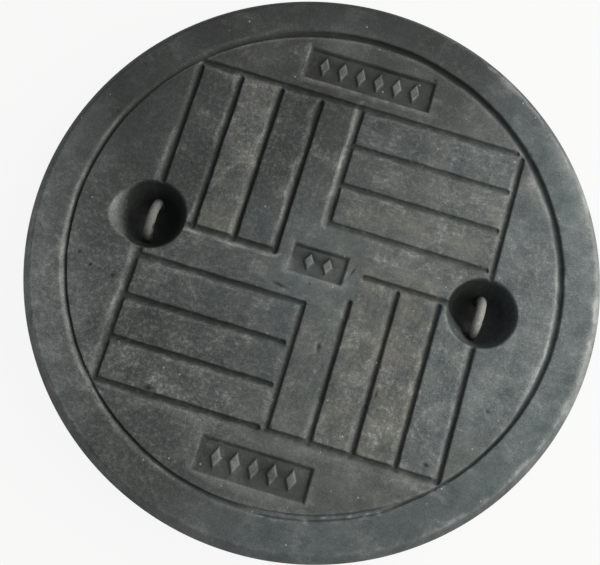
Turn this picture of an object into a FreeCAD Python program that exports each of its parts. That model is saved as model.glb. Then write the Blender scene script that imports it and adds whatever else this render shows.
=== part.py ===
import FreeCAD, Part
import math
import os

import Sketcher

# A round precast concrete manhole cover with two cast-in steel lifting bars.
# Millimetres. The origin is the middle of the underside, +Z is up, and X runs through both lifting pockets.

doc = FreeCAD.newDocument("ManholeCover")

driving_sizes = [
    # the disc
    ("cover_diameter", 600),
    ("cover_thickness", 75),
    ("rim_bevel_width", 9),
    ("rim_bevel_height", 12),
    ("side_taper", 10),
    ("underside_chamfer", 3),
    # the moulded grooves: their width at the face, at the floor, and their depth
    ("groove_width", 7.5),
    ("groove_floor_width", 1.5),
    ("groove_depth", 5),
    # the plain border outside the ring groove, and the weave of slats whose corners come close to the ring
    ("border_width", 44.5),
    ("ring_gap", 3.77),
    ("slats_in_block", 4),
    # the sunk panels
    ("panel_depth", 4.5),
    ("panel_draft", 25),
    ("upper_panel_length", 141),
    ("upper_panel_width", 36),
    ("upper_panel_gap", 12.25),
    ("upper_panel_shift", -2),
    ("lower_panel_length", 116),
    ("lower_panel_width", 36),
    ("lower_panel_gap", 17.75),
    ("middle_panel_length", 59),
    ("middle_panel_width", 31),
    ("middle_panel_shift", 2.5),
    # the plain raised lozenges in the panels
    ("lozenge_width", 12),
    ("lozenge_margin", 6),
    ("lozenge_below_face", 1),
    ("lozenge_draft", 20),
    ("upper_lozenge_count", 6),
    ("lower_lozenge_count", 5),
    ("middle_lozenge_count", 2),
    # the lifting pockets
    ("pocket_diameter", 75),
    ("pocket_wall_draft", 20),
    ("pocket_lip", 1),
    ("concrete_under_pocket", 30),
    # the lifting bars
    ("bar_diameter", 10),
    ("bar_leg_spacing", 38),
    ("bar_crown_below_face", 6),
    ("concrete_under_bar", 15),
]

sizes = doc.addObject("Spreadsheet::Sheet", "Sizes")
for row, (alias, value) in enumerate(driving_sizes, start=1):
    sizes.set(f"A{row}", alias)
    sizes.set(f"B{row}", str(value))
    sizes.setAlias(f"B{row}", alias)
doc.recompute()

# Places that several features share, as expressions of the driving sizes.
face_height = "Sizes.cover_thickness"
ring_radius = "(Sizes.cover_diameter / 2 - Sizes.border_width)"
weave_half = f"(({ring_radius} - Sizes.ring_gap) / sqrt(2))"
slat_pitch = f"({weave_half} / Sizes.slats_in_block)"
half_groove = "(Sizes.groove_width / 2)"
half_groove_floor = "(Sizes.groove_floor_width / 2)"
bar_radius = "(Sizes.bar_diameter / 2)"


def number(expression):
    return float(sizes.evalExpression(expression))


def plane_of(body, role):
    return [feature for feature in body.Origin.OriginFeatures if feature.Role == role][0]


def sketch_on(body, role, name, away="0"):
    sketch = body.newObject("Sketcher::SketchObject", name)
    sketch.AttachmentSupport = [(plane_of(body, role), "")]
    sketch.MapMode = "FlatFace"
    sketch.setExpression("AttachmentOffset.Base.z", away)
    return sketch


def hold(sketch, kind, line, end, expression):
    # Holds one end of a line, or an arc's centre, at a distance from the sketch's origin.
    index = sketch.addConstraint(Sketcher.Constraint(kind, -1, 1, line, end, number(expression)))
    sketch.setExpression(f"Constraints[{index}]", expression)


def point(across, along):
    return FreeCAD.Vector(number(across), number(along), 0)


def closed_outline(sketch, corners):
    first = sketch.GeometryCount
    count = len(corners)
    for i in range(count):
        start = point(*corners[i])
        end = point(*corners[(i + 1) % count])
        sketch.addGeometry(Part.LineSegment(start, end), False)
    for i in range(count):
        following = first + (i + 1) % count
        sketch.addConstraint(Sketcher.Constraint("Coincident", first + i, 2, following, 1))
    for i, (across, along) in enumerate(corners):
        hold(sketch, "DistanceX", first + i, 1, across)
        hold(sketch, "DistanceY", first + i, 1, along)


def groove_outline(sketch, middle):
    # The groove's section: open at the face, narrower at its floor.
    floor = f"{face_height} - Sizes.groove_depth"
    closed_outline(sketch, [
        (f"{middle} - {half_groove}", face_height),
        (f"{middle} - {half_groove_floor}", floor),
        (f"{middle} + {half_groove_floor}", floor),
        (f"{middle} + {half_groove}", face_height),
    ])


def rectangle_outline(sketch, middle_across, middle_along, length, width):
    left = f"{middle_across} - {length} / 2"
    right = f"{middle_across} + {length} / 2"
    low = f"{middle_along} - {width} / 2"
    high = f"{middle_along} + {width} / 2"
    closed_outline(sketch, [(left, low), (right, low), (right, high), (left, high)])


def tip_volume(body):
    doc.recompute()
    return body.Shape.Volume


def circle_edges(feature, height, radius):
    # The whole circles of a feature at one height and of one radius.
    names = []
    for i, edge in enumerate(feature.Shape.Edges, start=1):
        if edge.Degenerated or not isinstance(edge.Curve, Part.Circle):
            continue
        same_height = abs(edge.Curve.Center.z - height) < 0.01
        same_radius = abs(edge.Curve.Radius - radius) < 0.01
        if same_height and same_radius:
            names.append(f"Edge{i}")
    return names


# The disc: a revolved section with a bevelled top edge and a side that tapers in to the underside.
slab = doc.addObject("PartDesign::Body", "SlabCasting")
disc_section = sketch_on(slab, "XZ_Plane", "DiscSection")
rim = "Sizes.cover_diameter / 2"
underside_rim = f"{rim} - Sizes.side_taper"
closed_outline(disc_section, [
    ("0", "0"),
    (f"{underside_rim} - Sizes.underside_chamfer", "0"),
    (underside_rim, "Sizes.underside_chamfer"),
    (rim, f"{face_height} - Sizes.rim_bevel_height"),
    (f"{rim} - Sizes.rim_bevel_width", face_height),
    ("0", face_height),
])
disc = slab.newObject("PartDesign::Revolution", "Disc")
disc.Profile = disc_section
disc.ReferenceAxis = (disc_section, ["V_Axis"])
disc.Angle = 360

# The lifting pockets: two round bowls, centred on the weave's left and right edges. A bowl's wall slopes
# straight down from the rim until it runs into the round bottom.
wall_draft = "Sizes.pocket_wall_draft"
pocket_depth = f"({face_height} - Sizes.concrete_under_pocket)"
wall_reach = f"(Sizes.pocket_diameter / 2 * cos({wall_draft}) - {pocket_depth} * sin({wall_draft}))"
bowl_radius = f"({wall_reach} / (1 - sin({wall_draft})))"
bowl_middle = (weave_half, f"(Sizes.concrete_under_pocket + {bowl_radius})")
bowl_bottom = (weave_half, "Sizes.concrete_under_pocket")
wall_foot = (
    f"{weave_half} + {bowl_radius} * cos({wall_draft})",
    f"{bowl_middle[1]} - {bowl_radius} * sin({wall_draft})",
)
rim_edge = (f"{weave_half} + Sizes.pocket_diameter / 2", face_height)
rim_middle = (weave_half, face_height)

pocket_section = sketch_on(slab, "XZ_Plane", "PocketSection")
for start, end in ((rim_middle, bowl_bottom), (wall_foot, rim_edge), (rim_edge, rim_middle)):
    pocket_section.addGeometry(Part.LineSegment(point(*start), point(*end)), False)
bowl_circle = Part.Circle(point(*bowl_middle), FreeCAD.Vector(0, 0, 1), number(bowl_radius))
wall_turn = math.radians(-number(wall_draft))
pocket_section.addGeometry(Part.ArcOfCircle(bowl_circle, -math.pi / 2, wall_turn), False)
axis_line, wall_line, rim_line, bowl_arc = range(4)
for first, first_end, second, second_end in (
    (axis_line, 2, bowl_arc, 1),
    (bowl_arc, 2, wall_line, 1),
    (wall_line, 2, rim_line, 1),
    (rim_line, 2, axis_line, 1),
):
    pocket_section.addConstraint(Sketcher.Constraint("Coincident", first, first_end, second, second_end))
for line, place in ((axis_line, rim_middle), (wall_line, wall_foot), (rim_line, rim_edge)):
    hold(pocket_section, "DistanceX", line, 1, place[0])
    hold(pocket_section, "DistanceY", line, 1, place[1])
hold(pocket_section, "DistanceX", axis_line, 2, bowl_bottom[0])
hold(pocket_section, "DistanceY", axis_line, 2, bowl_bottom[1])
hold(pocket_section, "DistanceX", bowl_arc, 3, bowl_middle[0])
pocket_right = slab.newObject("PartDesign::Groove", "PocketRight")
pocket_right.Profile = pocket_section
pocket_right.ReferenceAxis = (pocket_section, ["Edge1"])
pocket_right.Angle = 360
doc.recompute()
pockets = slab.newObject("PartDesign::Mirrored", "Pockets")
pockets.Originals = [pocket_right]
pockets.MirrorPlane = (plane_of(slab, "YZ_Plane"), [""])
slab.Tip = pockets
doc.recompute()
lips = slab.newObject("PartDesign::Chamfer", "PocketLips")
lips.Base = (pockets, circle_edges(pockets, number(face_height), number("Sizes.pocket_diameter / 2")))
lips.setExpression("Size", "Sizes.pocket_lip")
volume_before_grooves = tip_volume(slab)

# The ring groove round the weave.
ring_section = sketch_on(slab, "XZ_Plane", "RingSection")
groove_outline(ring_section, ring_radius)
ring_groove = slab.newObject("PartDesign::Groove", "RingGroove")
ring_groove.Profile = ring_section
ring_groove.ReferenceAxis = (ring_section, ["V_Axis"])
ring_groove.Angle = 360

# One block of the weave: the grooves beside its slats, the groove across their outer ends, and the groove
# across their inner ends, which stops one slat short of the middle. The block then turns by quarters.
slat_section = sketch_on(slab, "XZ_Plane", "SlatSection")
for i in range(int(number("Sizes.slats_in_block"))):
    groove_outline(slat_section, f"-{slat_pitch} * {i + 1}")
slat_grooves = slab.newObject("PartDesign::Pocket", "SlatGrooves")
slat_grooves.Profile = slat_section
slat_grooves.setExpression("Length", f"{weave_half} + {half_groove}")

outer_section = sketch_on(slab, "YZ_Plane", "OuterEndSection")
groove_outline(outer_section, weave_half)
outer_groove = slab.newObject("PartDesign::Pocket", "OuterEndGroove")
outer_groove.Profile = outer_section
outer_groove.setExpression("Length", f"{weave_half} + {half_groove}")

inner_section = sketch_on(slab, "YZ_Plane", "InnerEndSection", f"-{slat_pitch}")
groove_outline(inner_section, "0")
inner_groove = slab.newObject("PartDesign::Pocket", "InnerEndGroove")
inner_groove.Profile = inner_section
inner_groove.setExpression("Length", f"{weave_half} - {slat_pitch}")
doc.recompute()

weave = slab.newObject("PartDesign::PolarPattern", "Weave")
weave.Originals = [slat_grooves, outer_groove, inner_groove]
weave.Axis = (disc_section, ["V_Axis"])
weave.Angle = 360
weave.Occurrences = 4
slab.Tip = weave
volume_after_grooves = tip_volume(slab)

# The three sunk panels, and a row of plain raised lozenges in each.
weave_edge = f"({weave_half} + {half_groove})"
upper_middle = f"({weave_edge} + Sizes.upper_panel_gap + Sizes.upper_panel_width / 2)"
lower_middle = f"(-{weave_edge} - Sizes.lower_panel_gap - Sizes.lower_panel_width / 2)"
panel_rows = [
    ("Upper", "Sizes.upper_panel_shift", upper_middle),
    ("Lower", "0", lower_middle),
    ("Middle", "Sizes.middle_panel_shift", "0"),
]
for place, panel_across, panel_middle in panel_rows:
    word = place.lower()
    panel_length = f"Sizes.{word}_panel_length"
    panel_width = f"Sizes.{word}_panel_width"
    panel_sketch = sketch_on(slab, "XY_Plane", f"{place}PanelOutline", face_height)
    rectangle_outline(panel_sketch, panel_across, panel_middle, panel_length, panel_width)
    panel = slab.newObject("PartDesign::Pocket", f"{place}Panel")
    panel.Profile = panel_sketch
    panel.setExpression("Length", "Sizes.panel_depth")
    panel.setExpression("TaperAngle", "-Sizes.panel_draft")
    doc.recompute()

    lozenge_pitch = f"({panel_length} / (Sizes.{word}_lozenge_count + 1))"
    lozenge_half_height = f"({panel_width} / 2 - Sizes.lozenge_margin)"
    first_middle = f"({panel_across} + {lozenge_pitch} - {panel_length} / 2)"
    panel_floor = f"{face_height} - Sizes.panel_depth"
    lozenge_sketch = sketch_on(slab, "XY_Plane", f"{place}LozengeOutline", panel_floor)
    closed_outline(lozenge_sketch, [
        (f"{first_middle} - Sizes.lozenge_width / 2", panel_middle),
        (first_middle, f"{panel_middle} - {lozenge_half_height}"),
        (f"{first_middle} + Sizes.lozenge_width / 2", panel_middle),
        (first_middle, f"{panel_middle} + {lozenge_half_height}"),
    ])
    lozenge = slab.newObject("PartDesign::Pad", f"{place}Lozenge")
    lozenge.Profile = lozenge_sketch
    lozenge.setExpression("Length", "Sizes.panel_depth - Sizes.lozenge_below_face")
    lozenge.setExpression("TaperAngle", "-Sizes.lozenge_draft")
    doc.recompute()
    lozenge_row = slab.newObject("PartDesign::LinearPattern", f"{place}LozengeRow")
    lozenge_row.Originals = [lozenge]
    lozenge_row.Direction = (lozenge_sketch, ["H_Axis"])
    lozenge_row.setExpression("Length", f"{lozenge_pitch} * (Sizes.{word}_lozenge_count - 1)")
    lozenge_row.setExpression("Occurrences", f"Sizes.{word}_lozenge_count")
    slab.Tip = lozenge_row
    doc.recompute()


def lifting_bar(name, middle):
    # An upside-down U of round bar, with straight legs down into the concrete.
    bar = doc.addObject("PartDesign::Body", name)
    leg = "(Sizes.bar_leg_spacing / 2)"
    foot_height = "Sizes.concrete_under_bar"
    arch_height = f"({face_height} - Sizes.bar_crown_below_face - {bar_radius} - {leg})"

    path = sketch_on(bar, "YZ_Plane", f"{name}Path")
    legs = [((f"-{leg}", foot_height), (f"-{leg}", arch_height)), ((leg, arch_height), (leg, foot_height))]
    for start, end in legs:
        path.addGeometry(Part.LineSegment(point(*start), point(*end)), False)
    arch = Part.Circle(point("0", arch_height), FreeCAD.Vector(0, 0, 1), number(leg))
    path.addGeometry(Part.ArcOfCircle(arch, 0, math.pi), False)
    for i, (start, end) in enumerate(legs):
        for corner, (across, along) in ((1, start), (2, end)):
            hold(path, "DistanceX", i, corner, across)
            hold(path, "DistanceY", i, corner, along)
    path.addConstraint(Sketcher.Constraint("Coincident", 2, 2, 0, 2))
    path.addConstraint(Sketcher.Constraint("Coincident", 2, 1, 1, 1))
    hold(path, "DistanceY", 2, 3, arch_height)

    section = sketch_on(bar, "XY_Plane", f"{name}Section", foot_height)
    across_bar = Part.Circle(point("0", f"-{leg}"), FreeCAD.Vector(0, 0, 1), number(bar_radius))
    section.addGeometry(across_bar, False)
    hold(section, "DistanceX", 0, 3, "0")
    hold(section, "DistanceY", 0, 3, f"-{leg}")
    radius = section.addConstraint(Sketcher.Constraint("Radius", 0, number(bar_radius)))
    section.setExpression(f"Constraints[{radius}]", bar_radius)
    doc.recompute()

    pipe = bar.newObject("PartDesign::AdditivePipe", f"{name}Pipe")
    pipe.Profile = section
    pipe.Spine = (path, [])
    bar.setExpression("Placement.Base.x", middle)
    doc.recompute()
    return bar


# The two bars, each standing in the middle of its pocket.
lifting_bars = doc.addObject("Part::Compound", "LiftingBars")
lifting_bars.Links = [
    lifting_bar("LiftingBarLeft", f"-{weave_half}"),
    lifting_bar("LiftingBarRight", weave_half),
]
lifting_bars.Label = "lifting_bars"

# The concrete was cast round the bars, so it fits their buried legs all over.
cover_slab = doc.addObject("Part::Cut", "CoverSlab")
cover_slab.Base = slab
cover_slab.Tool = lifting_bars
cover_slab.Label = "cover_slab"
doc.recompute()

for piece in doc.Objects:
    if "Invalid" in piece.State or "Error" in piece.State:
        raise RuntimeError(f"{piece.Name} failed: {piece.State}")
if volume_after_grooves >= volume_before_grooves:
    raise RuntimeError("the grooves cut nothing from the face")
sub_parts = {cover_slab: 1, lifting_bars: len(lifting_bars.Links)}
for sub_part, solids in sub_parts.items():
    shape = sub_part.Shape
    if shape.isNull() or not shape.isValid() or len(shape.Solids) != solids:
        raise RuntimeError(f"{sub_part.Label} is not made of {solids} valid solids")

os.makedirs("parts", exist_ok=True)
for sub_part in sub_parts:
    sub_part.Shape.exportStep(f"parts/{sub_part.Label}.step")
    print(sub_part.Label, round(sub_part.Shape.Volume), "mm3")
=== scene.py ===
import math

import bpy
import numpy as np
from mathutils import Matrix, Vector
from mathutils.geometry import delaunay_2d_cdt


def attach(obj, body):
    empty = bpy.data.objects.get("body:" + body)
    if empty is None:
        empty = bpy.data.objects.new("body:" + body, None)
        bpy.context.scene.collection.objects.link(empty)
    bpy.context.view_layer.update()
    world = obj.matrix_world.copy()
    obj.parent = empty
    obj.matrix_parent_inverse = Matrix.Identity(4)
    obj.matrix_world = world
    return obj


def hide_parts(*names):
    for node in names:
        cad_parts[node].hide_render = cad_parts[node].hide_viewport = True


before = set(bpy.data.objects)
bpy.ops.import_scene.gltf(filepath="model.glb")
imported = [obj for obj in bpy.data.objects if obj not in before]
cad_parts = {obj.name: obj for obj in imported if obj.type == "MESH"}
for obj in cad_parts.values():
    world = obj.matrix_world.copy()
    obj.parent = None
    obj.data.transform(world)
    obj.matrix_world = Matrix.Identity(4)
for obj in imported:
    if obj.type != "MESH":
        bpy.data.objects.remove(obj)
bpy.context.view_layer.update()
mm = 0.001


def toLinear(code):  # "#rrggbb" as it is seen on a screen, to what Blender's sockets take
    parts = [int(code[i:i + 2], 16) / 255 for i in (1, 3, 5)]
    return [v / 12.92 if v <= 0.04045 else ((v + 0.055) / 1.055) ** 2.4 for v in parts] + [1.0]


def addNode(tree, kind, inputs=None, **settings):  # inputs: socket name or number, to a value or an output
    made = tree.nodes.new(kind)
    for name, value in settings.items():
        setattr(made, name, value)
    for key, value in (inputs or {}).items():
        if isinstance(value, bpy.types.NodeSocket):
            tree.links.new(value, made.inputs[key])
        else:
            made.inputs[key].default_value = value
    return made


def startMaterial(name):
    made = bpy.data.materials.new(name)
    made.use_nodes = True
    tree = made.node_tree
    return made, tree, tree.nodes["Principled BSDF"]


def smooth(t):  # a soft step from 0 to 1
    t = np.clip(t, 0, 1)
    return t * t * (3 - 2 * t)


def hump(value, middle, width):  # 1 at the middle, fading to 0 on both sides
    return np.exp(-((value - middle) / width) ** 2)


def patchy(x, y, size, seed):  # soft random patches from 0 to 1, about size mm each
    cells = 127
    table = np.random.RandomState(seed).rand(cells + 1, cells + 1)
    u, v = x / size + 40.37, y / size + 40.71  # moved, so that the table's seam misses most of the face
    i, j = np.floor(u).astype(int), np.floor(v).astype(int)
    a, b = smooth(u - i), smooth(v - j)
    i, j = i % cells, j % cells
    low = table[i, j] * (1 - a) + table[i + 1, j] * a
    high = table[i, j + 1] * (1 - a) + table[i + 1, j + 1] * a
    return low * (1 - b) + high * b


def meshPiece(name, verts, faces, material, body, node):
    mesh = bpy.data.meshes.new(name)
    mesh.from_pydata([tuple(p) for p in np.asarray(verts) * mm], [], faces)
    mesh.polygons.foreach_set("use_smooth", [True] * len(mesh.polygons))
    mesh.materials.append(material)
    piece = bpy.data.objects.new(name, mesh)
    bpy.context.scene.collection.objects.link(piece)
    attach(piece, body)
    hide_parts(node)
    return piece


def addAttribute(piece, name, values):
    values = np.asarray(values, dtype=np.float32)
    kind, field = ("FLOAT", "value") if values.ndim == 1 else ("FLOAT_VECTOR", "vector")
    made = piece.data.attributes.new(name, kind, "POINT")
    made.data.foreach_set(field, values.ravel())


# the cast slab, sizes in mm and angles in degrees
slab = {
    "radius": 300, "faceHeight": 75, "bevelWidth": 9, "bevelHeight": 12,
    "footRadius": 290, "footChamfer": 3, "footMiddle": (1.5, 1.2),  # in from the foot, up from the floor
    "pitch": 44.5, "weaveHalf": 178, "ringRadius": 255.5,
    # a groove from its middle line outwards: distance, depth, and dirt with painted shade, heaviest by the
    # sharp bank one bank stays sharp, the other weathers back, and sharpTurn is the way that sharp banks
    # lie, towards the light
    "sharpBank": [(0, 4.8, 0.95), (1, 5.0, 1), (2.0, 4.7, 1), (2.5, 3.6, 0.85), (2.9, 1.6, 0.5),
                  (3.3, 0.5, 0.2), (4.0, 0.2, 0), (6, 0.05, 0), (9, 0, 0)],
    "wornBank": [(0, 4.8, 0.95), (1, 4.1, 0.78), (2, 3.0, 0.48), (3, 1.9, 0.24), (4, 0.95, 0.08),
                 (5, 0.4, 0.02), (6, 0.15, 0), (7.5, 0.05, 0), (9, 0, 0)],
    "sharpTurn": 14, "edgeWander": 0.5,
    # blocks of the weave, each a quarter turn on from the last: how far short the slat grooves stop at their
    # outer and inner ends, how far short the grooves across those ends stop, the depth that the slat grooves
    # kept, dirt and painted shade in them, and dirt and painted shade in the groove across their outer ends
    "blocks": [
        {"outer": 7, "inner": (0, 0, 0, 0), "acrossOuter": 0, "acrossInner": 0,
         "kept": 1.0, "dirtAndShade": 0.96, "acrossDirtAndShade": 0.62},
        {"outer": 0, "inner": (0, 8, 8, 8), "acrossOuter": 0, "acrossInner": 0,
         "kept": 0.85, "dirtAndShade": 0.7, "acrossDirtAndShade": 0.78},
        {"outer": 0, "inner": (30, 6, 6, 6), "acrossOuter": 0, "acrossInner": 8,
         "kept": 1.0, "dirtAndShade": 0.72, "acrossDirtAndShade": 0.6},
        {"outer": 7, "inner": (0, 0, 0, 0), "acrossOuter": 5, "acrossInner": 0,
         "kept": 0.75, "dirtAndShade": 0.5, "acrossDirtAndShade": 0.7},
    ],
    "acrossKept": 0.85, "acrossInnerDirtAndShade": 0.68, "bankWidth": 12, "bankDepth": 2.0,
    # how much of its depth and of its width the ring groove kept, by angle in degrees
    "ringKept": [(0, 1), (105, 1), (120, 0.7), (135, 0.4), (150, 0.55), (165, 0.8), (225, 0.8), (255, 0.7),
                 (270, 0.5), (285, 0.35), (300, 0.5), (315, 0.8), (330, 1), (360, 1)],
    "ringWidth": [(0, 1), (40, 1.1), (105, 1.1), (140, 0.7), (165, 0.6), (200, 0.5), (255, 0.5), (272, 0.8),
                  (298, 0.8), (308, 0.45), (330, 0.55), (345, 0.85), (360, 1)],
    # dirt and painted shade in it, then how pale its outer and its inner lip are: rubbed, and a painted
    # highlight where each lip faces the light
    "ringDirtAndShade": [(0, 0.55), (30, 0.68), (60, 0.8), (75, 1), (105, 0.9), (120, 0.7), (135, 0.5), (150, 0.65),
                 (165, 0.9), (180, 0.85), (225, 0.75), (240, 0.9), (255, 0.75), (270, 0.6), (300, 0.5),
                 (315, 0.55), (330, 0.65), (345, 0.6), (360, 0.55)],
    "outerLipLight": [(0, 0), (150, 0), (165, 0.25), (180, 0.4), (193, 1), (210, 1), (225, 0.6), (240, 0.4),
                 (255, 0.1), (270, 0), (360, 0)],
    "innerLipLight": [(0, 1), (15, 0.8), (30, 0.2), (75, 0.1), (105, 0.3), (120, 0.5), (135, 0.15), (150, 0),
                 (325, 0.1), (345, 0.4), (360, 1)],
    "groutFrom": 268, "groutTo": 306,  # grout fills the ring between these angles, but for its two edges
    # sunk panels: middle x, middle y, length, width, lozenges
    "panels": [(-2, 212, 141, 36, 6), (0, -217.5, 116, 36, 5), (2.5, 0, 59, 31, 2)],
    "panelDepth": 4.5, "panelDraft": 25,
    "lozengeWidth": 12, "lozengeMargin": 6, "lozengeDraft": 20, "lozengeRise": 3.5,
    "pocketRadius": 37.5, "pocketDepth": 45, "pocketDraft": 20, "pocketLip": 1,
    "steepest": 4.0, "brokenSlope": 0.6,
    # the left and the right pocket have a wall that faces the light: the way it lies from the middle in
    # degrees, how deep the painted shade stays off it, how far its lip is broken away, how much gentler it
    # slopes, how broadly its painted shade fades, painted shade all over, where it is lighter and by how
    # much, how much painted light lies on it and a painted highlight on its edge
    "pocketWalls": [
        {"turn": 197, "litDepth": 0.5, "broken": 8, "gentler": 0, "fade": 10,
         "film": 0, "thinTurn": 190, "thin": 0.22, "pale": 0.66, "edge": 0},
        {"turn": 228, "litDepth": 10, "broken": 0, "gentler": 2.3, "fade": 0,
         "film": 1, "thinTurn": 350, "thin": 0.36, "pale": 0, "edge": 0.7},
    ],
    "legSpacing": 38, "legHole": 5.03, "legFoot": 15,
    "unevenness": 0.45, "sideDents": 0.7, "undersideLift": 0.8,
    # dents and pock marks: middle x, middle y, half length, half width, turn in degrees, depth
    "dents": [(27, -83, 5, 2.2, 95, 2.2), (162, -165, 2, 1.5, 0, 2), (-235, -60, 2.2, 1.6, 60, 1.6),
              (-220, -70, 2.4, 1.6, 40, 1.8), (-195, -74, 2, 1.5, 20, 1.4), (-30, -33, 7, 1.3, -8, 1.6),
              (-125, -172, 5, 2.6, 8, 2.6), (39, 2, 6, 0.9, 70, 0.9), (96, -112, 4, 1.2, 88, 1.3),
              (-247, 96, 2, 1.4, 30, 1.2), (208, -96, 2, 1.6, 0, 1.2), (66, 232, 2.4, 1.5, 10, 1.3)],
    # how the rim has aged, by angle in degrees: 1 is chipped and pale, -1 is black with painted shade where
    # the bevel faces away from the light
    "rimWearAndShade": [(0, 1), (30, 1), (42, 0.5), (72, 0.4), (85, -0.6), (95, -1), (125, -1), (145, -0.6),
               (170, -0.3), (185, 0), (200, 0.2), (225, 0.3), (242, 0.15), (260, 0.1), (275, 0.15),
               (290, 0.2), (320, 0.35), (340, 0.6), (352, 1), (360, 1)],
    # how much painted light lies on the bevel where it turns away from the lamp, by angle in degrees
    "bevelPaintedLight": [(0, 0), (180, 0.25), (195, 0.85), (212, 0.8), (228, 0.7), (242, 0.5), (258, 0.2),
                    (290, 0.15), (312, 0.25), (330, 0.35), (345, 0), (360, 0)],
    # radii where chips, pale skin and painted shade begin, and two places of painted sheen with angle,
    # spread, start and fade
    "chipDepth": 2.6, "chipsFrom": 288, "paleFrom": 284, "rimShadeFrom": 290,
    "sheenPlaces": [(32, 17, 274, 20), (60, 3, 284, 6)],
    # where the slab is darker, partly damp and partly painted shade on the side away from the light: middle
    # x, middle y, reach, amount
    "dampAndShadePlaces": [(-120, 110, 100, 0.9), (-50, 275, 180, 1.0), (-215, 165, 110, 0.9),
                   (-90, -110, 110, 0.65), (-20, -265, 140, 0.35), (-140, -240, 70, 0.75),
                   (-225, -20, 75, 0.7), (-167, 111, 45, 0.4), (-262, 77, 50, 0.1), (207, -195, 60, 0.15),
                   (100, 265, 80, 0.4), (140, -240, 60, 0.4), (-40, 232, 30, -0.7), (-118, 204, 38, -0.7),
                   (-178, -122, 48, 0.65), (-80, -262, 50, 0.2), (42, 232, 30, -0.3)],
    # where pale dust lies, in the same way
    "dustPlaces": [(-225, -60, 90, 1.0), (-150, -235, 80, 0.7), (-105, 120, 80, 0.6), (120, -130, 70, 0.5),
                   (110, 150, 70, 0.5), (-80, -150, 90, 0.6), (234, -5, 30, 1.0), (-235, -150, 60, 0.6),
                   (262, 20, 90, 0.5), (218, -70, 45, 0.7), (228, 62, 40, 0.6), (-45, -196, 24, 0.7),
                   (-82, 216, 14, 0.8)],
    # how worn a few slats are, counted outwards from the middle of their block
    "wornSlats": {"upperLeft": {3: 0.85, 1: 0.25}, "upperRight": {1: 0.55, 2: 0.6, 3: 0.35},
                  "lowerRight": {1: 0.3, 2: 0.7, 3: 0.9}, "lowerLeft": {1: 0.15, 4: 0.4}},
    # rows of mesh points: beside grooves, in from a panel's edge, lozenges as shares of their size, radii
    # of the rim, and shares of the way down the side
    "grooveRows": [0, 0.7, 1.3, 1.9, 2.4, 2.9, 3.4, 4.0, 5.2, 7.0, 9.0],
    "panelRows": [-2.2, -0.9, 0, 0.7, 1.4, 2.1, 2.8, 4.0],
    "lozengeRows": [0.1, 0.45, 0.7, 0.8, 0.9, 1.0, 1.1, 1.2],
    "rimRows": [300, 299, 297.6, 295.8, 294, 292.4, 291, 289.6, 287.6, 285.4],
    "sideRows": [0.015, 0.04, *np.linspace(0.08, 0.96, 16), 0.985, 1.0],
    "columns": 560, "ringColumns": 446, "legColumns": 40,
    "grooveStep": 3.2, "panelStep": 2.2, "dentStep": 1.1, "legClear": 7.0, "samePoint": 0.3,
    "gridStep": 5.0, "gridReach": 283, "gridClear": 3.0, "undersideStep": 9.0, "seed": 7,
}
pocketMiddles = [(-slab["weaveHalf"], 0.0), (slab["weaveHalf"], 0.0)]
legMiddles = [(px, py + s * slab["legSpacing"] / 2) for px, py in pocketMiddles for s in (-1, 1)]


def grooveLines():  # the weave's grooves as (start, end, kept depth, dirt)
    p, h = slab["pitch"], slab["weaveHalf"]
    found = []
    for block, (c, s) in zip(slab["blocks"], [(1, 0), (0, 1), (-1, 0), (0, -1)]):
        drawn = [((-p * k, short), (-p * k, h - block["outer"]), block["kept"], block["dirtAndShade"])
                 for k, short in enumerate(block["inner"], 1)]
        drawn.append(((block["acrossOuter"] - h, h), (0, h), slab["acrossKept"], block["acrossDirtAndShade"]))
        drawn.append(((-h, 0), (-p - block["acrossInner"], 0), slab["acrossKept"], slab["acrossInnerDirtAndShade"]))
        for (ax, ay), (bx, by), *shares in drawn:
            found.append(((ax * c - ay * s, ax * s + ay * c), (bx * c - by * s, bx * s + by * c), *shares))
    return found


lines = grooveLines()


def byAngle(name, angle):  # one of the slab's lists that run round the cover
    return np.interp(angle, *zip(*slab[name]))


def lineAway(x, y, a, b):  # distance from a groove's middle line, round its ends too
    ax, ay = a
    dx, dy = b[0] - ax, b[1] - ay
    length = math.hypot(dx, dy)
    along = ((x - ax) * dx + (y - ay) * dy) / length
    across = (-(x - ax) * dy + (y - ay) * dx) / length
    beyond = np.maximum(np.maximum(-along, along - length), 0)
    return np.hypot(across, beyond)


def grooveShape(x, y, away, gx, gy):  # depth, dirt with painted shade, and pale lip (rubbed, with a painted highlight on the bank that faces the light), gx and gy being the way to this side
    turn = math.radians(slab["sharpTurn"])
    facing = gx * math.cos(turn) + gy * math.sin(turn)
    sharp, worn = np.array(slab["sharpBank"]).T, np.array(slab["wornBank"]).T
    share = smooth(0.5 + 2 * facing)
    back = away / (0.72 + 0.6 * patchy(x, y, 15, 19))  # the worn bank reaches further in some places
    depth, dirtAndShade = (share * np.interp(away, sharp[0], sharp[k])
                   + (1 - share) * np.interp(back, worn[0], worn[k]) for k in (1, 2))
    # pale lips: rubbed in patches, and a painted highlight, strongest on the bank that faces the light
    rubbedAndLit = smooth(0.2 + 1.5 * (patchy(x, y, 34, 20) - 0.3))
    rubbedAndLit = rubbedAndLit * np.clip(0.3 * (gy < 0) - facing * 1.3, 0.1, 1)
    chipped = hump(away, 4.6, 0.8) * smooth((patchy(x, y, 7, 40) - 0.4) / 0.25)
    return depth, dirtAndShade, np.maximum(0.8 * hump(back, 6.0, 1.7), chipped) * rubbedAndLit


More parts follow.
